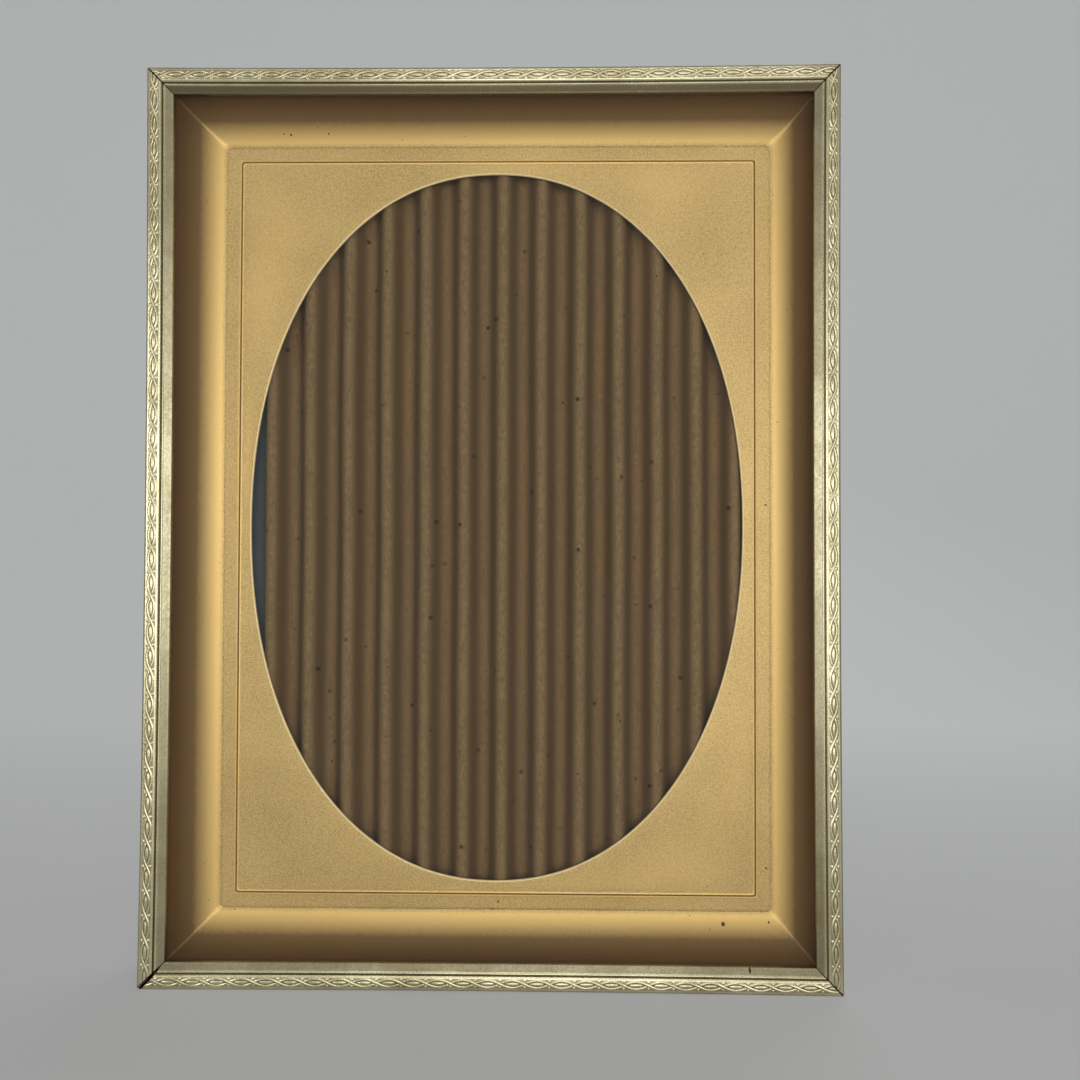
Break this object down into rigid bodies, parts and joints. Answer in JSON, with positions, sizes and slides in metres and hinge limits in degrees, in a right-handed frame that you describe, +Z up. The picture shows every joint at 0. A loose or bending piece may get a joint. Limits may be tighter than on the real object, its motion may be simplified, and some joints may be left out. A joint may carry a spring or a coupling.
{
  "type": "picture frame",
  "caption": "Rectangular table-top picture frame with mitred brass rails, glass, a coved gilt mat with an oval window, a corrugated filler and an easel back.",
  "frame": {"origin": "middle of the bottom rail's underside, half-way through the rails' depth", "axes": "+X to the right seen from the front, +Y from the front to the back, +Z up"},
  "size_m": [0.1564, 0.0253, 0.207],
  "materials": {
    "brass_rail": "brass-plated sheet, embossed, a little tarnished",
    "key_steel": "bare mild steel",
    "clear_glass": "clear flat glass",
    "gilt_board": "pressed board with a satin gilt face",
    "fluted_paper": "aged kraft paper",
    "slate_board": "matt slate-coloured board",
    "strut_board": "board covered in dark paper",
    "plated_steel": "thin brassy plating on stamped steel"
  },
  "bodies": {
    "frame": {"top_rail": "brass_rail", "bottom_rail": "brass_rail", "left_rail": "brass_rail", "right_rail": "brass_rail", "corner_key_top_left": "key_steel", "corner_key_top_right": "key_steel", "corner_key_bottom_left": "key_steel", "corner_key_bottom_right": "key_steel", "glass_pane": "clear_glass", "scoop_mat": "gilt_board", "corrugated_flutes": "fluted_paper", "corrugated_liner": "fluted_paper", "back_board": "slate_board", "turn_button_rivets": "plated_steel", "hinge_fixed_leaf": "plated_steel", "hinge_pin": "key_steel", "hinge_board_rivets": "plated_steel", "hanger_plate_top": "plated_steel", "hanger_plate_side": "plated_steel", "hanger_rivets": "plated_steel"},
    "strut": {"easel_strut": "strut_board", "hinge_moving_leaf": "plated_steel", "hinge_strut_rivets": "plated_steel"},
    "turn_button_left_upper": {"turn_button_left_upper": "plated_steel"},
    "turn_button_left_lower": {"turn_button_left_lower": "plated_steel"},
    "turn_button_right_upper": {"turn_button_right_upper": "plated_steel"},
    "turn_button_right_lower": {"turn_button_right_lower": "plated_steel"}
  },
  "joints": [
    {"name": "strut_hinge", "type": "hinge", "parent": "frame", "child": "strut", "pos_m": [0, 0.01225, 0.16], "axis": [1, 0, 0], "range_deg": [0, 30]},
    {"name": "turn_button_left_upper_pivot", "type": "hinge", "parent": "frame", "child": "turn_button_left_upper", "pos_m": [-0.07655, 0.0111, 0.1535], "axis": [0, 1, 0], "range_deg": [-90, 90]},
    {"name": "turn_button_left_lower_pivot", "type": "hinge", "parent": "frame", "child": "turn_button_left_lower", "pos_m": [-0.07655, 0.0111, 0.0535], "axis": [0, 1, 0], "range_deg": [-90, 90]},
    {"name": "turn_button_right_upper_pivot", "type": "hinge", "parent": "frame", "child": "turn_button_right_upper", "pos_m": [0.07655, 0.0111, 0.1535], "axis": [0, 1, 0], "range_deg": [-90, 90]},
    {"name": "turn_button_right_lower_pivot", "type": "hinge", "parent": "frame", "child": "turn_button_right_lower", "pos_m": [0.07655, 0.0111, 0.0535], "axis": [0, 1, 0], "range_deg": [-90, 90]}
  ]
}
